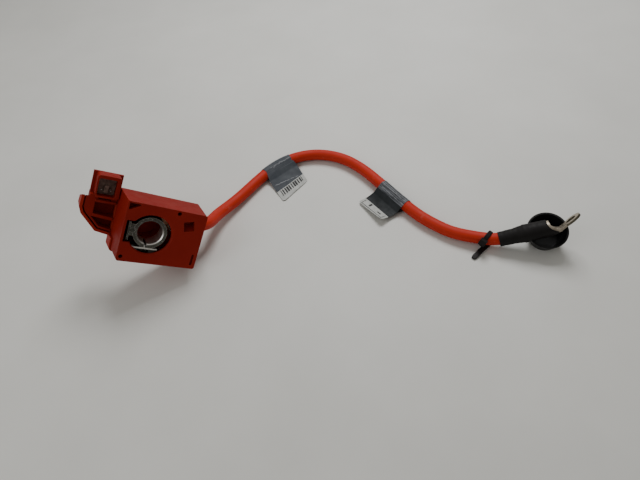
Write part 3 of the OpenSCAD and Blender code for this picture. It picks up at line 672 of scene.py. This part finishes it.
def make_tie(line, material):
    """Strap round the cable with small teeth outside, its tail on the floor, and its head."""
    here, turn = tie_frame(line)
    inner = CABLE_D / 2 + TIE_GAP
    points, faces = [], []
    for k in range(TIE_STEPS):
        angle = 2 * math.pi * k / TIE_STEPS
        outer = inner + TIE_T - (TIE_TOOTH if k % 2 else 0)
        for radius, w in ((inner, -1), (inner, 1), (outer, TIE_TAPER), (outer, -TIE_TAPER)):
            y = radius / math.cos(TIE_SKEW) * math.cos(angle)
            points.append(here + turn @ Vector((w * TIE_W / 2, y, radius * math.sin(angle))))
        faces += four_sides(4 * k, 4 * ((k + 1) % TIE_STEPS))
    # Tail: from beside the strap along the floor, bowed a little and narrower at its end
    root = Vector((here.x + TIE_TAIL_FROM[0], here.y + TIE_TAIL_FROM[1], TIE_TAIL_LOW))
    away = Vector((math.cos(TIE_TAIL_YAW), math.sin(TIE_TAIL_YAW), 0))
    wide = Vector((-away.y, away.x, 0))
    first = len(points)
    for k in range(TIE_TAIL_STEPS + 1):
        f = k / TIE_TAIL_STEPS
        half = TIE_TAIL_W / 2 * (1 - 3 * max(0, f - 0.9))
        low = TIE_TAIL_BOW * math.sin(math.pi * f)
        for w, h in ((-half, low), (half, low), (half, low + TIE_T), (-half, low + TIE_T)):
            points.append(root + away * (TIE_TAIL_LEN * f) + wide * w + Vector((0, 0, h)))
    for k in range(TIE_TAIL_STEPS):
        faces += four_sides(first + 4 * k, first + 4 * (k + 1))
    head = len(points)
    faces += [(first + 3, first + 2, first + 1, first), (head - 4, head - 3, head - 2, head - 1)]
    tip = turn @ Matrix.Rotation(TIE_HEAD_TURN, 3, "X")
    at = Vector((0, 0, inner + TIE_T + TIE_HEAD_RISE))
    for side, x_share, y_share in ((-1, 1, 1), (1, *TIE_HEAD_TAPER)):
        for x, y in SQUARE:
            corner = Vector((x * x_share * TIE_HEAD, y * y_share * TIE_HEAD, side * TIE_HEAD_H)) / 2
            points.append(here + tip @ (at + corner))
    faces += [tuple(head + m for m in face) for face in
              ((3, 2, 1, 0), (4, 5, 6, 7), (0, 1, 5, 4), (1, 2, 6, 5), (2, 3, 7, 6), (3, 0, 4, 7))]
    return mesh_object("tie_strap", points, faces, material, smooth=False)


def neck_section(x, angle):
    """Point of the sleeve's outer side across the lug, from the angle of its outward normal."""
    start, barrel_r = SLEEVE_PLACES[-1], SLEEVE_RADII[-1]
    c, s = math.cos(angle), math.sin(angle)
    if x <= start:
        r = float(np.interp(x, SLEEVE_PLACES, SLEEVE_RADII))
        return r * c, r * s
    # Beyond the barrel the round section flattens toward the palm's
    f = (x - start) / (NECK_END - start)
    w, h, n = PALM_W / 2 + SLEEVE_T, LUG_T / 2 + SLEEVE_T, NECK_SQUARENESS
    d = (abs(c * w) ** (n / (n - 1)) + abs(s * h) ** (n / (n - 1))) ** (1 / n)
    y = w * math.copysign(abs(c * w) ** (1 / (n - 1)), c) / d
    z = h * math.copysign(abs(s * h) ** (1 / (n - 1)), s) / d - PALM_DROP
    return (1 - f) * barrel_r * c + f * y, (1 - f) * barrel_r * s + f * z


def sleeve_end(angle):
    """How far along the lug the round cut lets the sleeve's side reach."""
    end = SLEEVE_START
    while end < SLEEVE_END:
        _, z = neck_section(end, angle)
        if math.hypot(end - CUT_AT[0], z - CUT_AT[1]) < CUT_R:
            break
        end += SLEEVE_CUT_STEP
    return end


def make_sleeve(material):
    """Heat-shrink: tight on the cable, stepped over the barrel, ended by a round slanting cut."""
    noise = np.random.default_rng(5)
    phase = noise.uniform(0, 6.28, 5)
    angles = 2 * np.pi * np.arange(SLEEVE_SIDES) / SLEEVE_SIDES
    grid = np.zeros((SLEEVE_ROWS, SLEEVE_SIDES, 3))
    for k, angle in enumerate(angles):
        end = sleeve_end(angle)
        for i in range(SLEEVE_ROWS):
            x = SLEEVE_START + (end - SLEEVE_START) * i / (SLEEVE_ROWS - 1)
            y, z = neck_section(x, angle)
            wave = (0.06 * math.sin(0.9 * x + phase[0] + 2 * angle)
                    + 0.05 * math.sin(1.7 * x + phase[1])
                    + 0.05 * math.sin(3 * angle + 0.4 * x + phase[2]))
            grid[i, k] = (x, y + wave * math.cos(angle), z + wave * math.sin(angle))
    lip = grid[-1].copy()
    lip[:, 1:] -= SLEEVE_LIP * np.stack([np.cos(angles), np.sin(angles)], axis=1)
    inside = lip.copy()
    inside[:, 0] -= SLEEVE_LIP_DEPTH
    start = grid[0].copy()
    start[:, 1:] *= (CABLE_D / 2 - SLEEVE_SINK) / np.linalg.norm(start[:, 1:], axis=1)[:, None]
    whole = np.concatenate([start[None], grid, lip[None], inside[None]])
    roll = Matrix.Rotation(LUG_ROLL, 3, "X")
    points = [at_far_end(roll @ Vector(p)) for p in whole.reshape(-1, 3)]
    uvs = [(k / SLEEVE_SIDES, i / 10) for i in range(len(whole)) for k in range(SLEEVE_SIDES)]
    faces = ring_faces(len(whole), SLEEVE_SIDES)
    return mesh_object("heat_shrink_tube", points, faces, material, uvs)


def make_slot_pocket(material):
    """Shallow moulded pocket behind the face's narrow slot, open to the front."""
    outer_half_w, outer_half_len = POCKET_HALF_W + POCKET_WALL, POCKET_HALF_LEN + POCKET_WALL
    points = []
    for half_w, half_len, z in ((POCKET_HALF_W, POCKET_HALF_LEN, POCKET_FRONT),
                                (POCKET_HALF_W, POCKET_HALF_LEN, POCKET_BACK + POCKET_WALL),
                                (outer_half_w, outer_half_len, POCKET_BACK),
                                (outer_half_w, outer_half_len, POCKET_FRONT)):
        points += [in_world(SLOT_AT + Vector((x * half_w, y * half_len, z))) for x, y in SQUARE]
    faces = ring_faces(4, 4) + [(4, 5, 6, 7), (8, 11, 10, 9)] + four_sides(0, 12)
    return mesh_object("slot_pocket", points, faces, material, smooth=False)


# Stage

def make_floor():
    """Pale painted floor."""
    bpy.ops.mesh.primitive_plane_add(size=FLOOR_SIZE, location=FLOOR_AT)
    floor = bpy.context.object
    floor.name = "floor"
    net = Net("floor_paint")
    net.color(net.ramp(net.noise(9, 4), [(0.3, (0.66, 0.66, 0.63)), (0.7, (0.72, 0.72, 0.69))]))
    net.set(Roughness=0.6)
    floor.data.materials.append(net.material)


def make_camera():
    """The photograph's camera."""
    data = bpy.data.cameras.new("camera")
    data.sensor_fit = "HORIZONTAL"
    data.angle = 2 * math.atan(PHOTO_WIDTH / 2 / FOCAL_PIXELS)
    data.clip_start = 0.01
    camera = bpy.data.objects.new("camera", data)
    right = CAMERA_RIGHT.normalized()
    up = (-CAMERA_DOWN).normalized()
    back = right.cross(up)
    camera.matrix_world = Matrix((
        (right.x, up.x, back.x, CAMERA_AT.x),
        (right.y, up.y, back.y, CAMERA_AT.y),
        (right.z, up.z, back.z, CAMERA_AT.z),
        (0, 0, 0, 1)))
    bpy.context.scene.collection.objects.link(camera)
    bpy.context.scene.camera = camera


def make_light(name, at, target, size, watts):
    """A round lamp that shines from one place toward another."""
    data = bpy.data.lights.new(name, "AREA")
    data.shape = "DISK"
    data.size = size
    data.energy = watts
    light = bpy.data.objects.new(name, data)
    light.location = at
    light.rotation_euler = (Vector(target) - Vector(at)).to_track_quat("-Z", "Y").to_euler()
    bpy.context.scene.collection.objects.link(light)


def make_world(color, strength):
    """Even light from all sides."""
    world = bpy.data.worlds.new("studio")
    bpy.context.scene.world = world
    world.use_nodes = True
    background = world.node_tree.nodes["Background"]
    background.inputs["Color"].default_value = (*color, 1)
    background.inputs["Strength"].default_value = strength


make_camera()

line = cable_line()
cable = tube("cable_tube", line, CABLE_D / 2, CABLE_SIDES, cable_insulation())
replace(cable, "cable")

near_film = film("near_film", (0.04, 0.047, 0.058), (0.062, 0.07, 0.08), streaks=0.15,
                 creases=[(0.13, -0.03, 0.01, 0.2, 1), (0.17, -0.04, 0.007, 0.3, 0.95),
                          (0.68, 0.28, 0.012, 0.08, 0.85)],
                 marks=[(0.1, 0.9, 1.05, 1.6)], bars=78)
far_film = film("far_film", (0.009, 0.012, 0.013), (0.02, 0.023, 0.026), streaks=0.6,
                creases=[(0.05, 0, 0.01, 0, 1), (0.2, 0, 0.008, 0.1, 1)],
                marks=[(0.07, 0.93, 1.76, 1.84), (0.07, 0.09, 1.12, 1.84), (0.91, 0.93, 1.12, 1.84),
                       (0.3, 0.37, 1.1, 1.55), (0.66, 0.8, 1.34, 1.5)])
near = make_label("near_label_film", line, NEAR_LABEL_AT, NEAR_FILM_LEN, NEAR_FLAG_W,
                  NEAR_FLAG_HEIGHTS, slide=-5, skew=5.7, twist=0, material=near_film)
replace(near, "near_label")
far = make_label("far_label_film", line, FAR_LABEL_AT, FAR_FILM_LEN, FAR_FILM_LEN,
                 FAR_FLAG_HEIGHTS, slide=-1, skew=0, twist=-4.5, material=far_film)
replace(far, "far_label")

shrink = rubber("black_shrink", (0.009, 0.008, 0.008), rough=0.6, lump=0.0001, gloss=0.16)
cap_rubber = rubber("cap_rubber", (0.005, 0.005, 0.005), rough=0.5, lump=0.00006, gloss=0.22)
sleeve = make_sleeve(shrink)
replace(sleeve, "heat_shrink")

red = moulded("red_housing", dark=(0.225, 0.0085, 0.004), light=(0.28, 0.0125, 0.006),
              worn=(0.42, 0.055, 0.024), rough=0.54)
# The rear cover's red is paler than the housing's: painted light that brightens its shaded skirt
lightened_cover_red = moulded("red_cover_painted_light", dark=(0.32, 0.015, 0.007), light=(0.39, 0.021, 0.01),
                    worn=(0.46, 0.07, 0.03), rough=0.54)
zinc = clamp_metal()
plated = metal("plated_steel", (0.42, 0.42, 0.4), (0.62, 0.61, 0.58), rough=0.3)
dark_steel = metal("dark_steel", (0.05, 0.05, 0.045), (0.12, 0.115, 0.105), rough=0.45)
copper = metal("fuse_copper", (0.55, 0.26, 0.15), (0.7, 0.36, 0.22), rough=0.35)
tinned = metal("tinned_lug", (0.42, 0.36, 0.29), (0.6, 0.55, 0.46), rough=0.5)
insert = moulded("grey_insert", dark=(0.09, 0.05, 0.04), light=(0.26, 0.18, 0.15),
                 worn=(0.55, 0.45, 0.38), rough=0.5, drift_scale=240)
pin_metal = metal("contact_metal", (0.85, 0.82, 0.75), (0.98, 0.96, 0.9), rough=0.5)
nylon = rubber("black_nylon", (0.009, 0.007, 0.007), rough=0.55, lump=0.00002, gloss=0.2)
tie = make_tie(line, nylon)
replace(tie, "cable_tie")
slot_pocket = make_slot_pocket(red)
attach(slot_pocket, "root")
strip_steel = metal("strip_steel", (0.3, 0.29, 0.27), (0.8, 0.78, 0.74), rough=0.32)

for material, dressed in ((red, ("front_housing", "connector_body")),
                          (lightened_cover_red, ("rear_cover",)),
                          (insert, ("connector_insert",)),
                          (pin_metal, ("left_contact_pin", "right_contact_pin")),
                          (zinc, ("post_clamp", "tail_rivet")),
                          (dark_steel, ("clamp_bolt", "clamp_nut")),
                          (strip_steel, ("retaining_strip",)),
                          (plated, ("fuse_screw", "fuse_nut")),
                          (copper, ("fuse_link",)),
                          (tinned, ("inner_lug",)),
                          (lug_metal(), ("ring_lug",)),
                          (cap_rubber, ("terminal_cap",))):
    for node in dressed:
        dress(node, material)

make_floor()
make_world((0.95, 0.92, 0.86), strength=0.3)
make_light("key", at=(0.3, 0.6, 0.8), target=(0.12, 0.03, 0.02), size=0.45, watts=6.6)
make_light("fill", at=(-0.5, -0.3, 0.6), target=(0.1, 0, 0.02), size=0.7, watts=1.6)
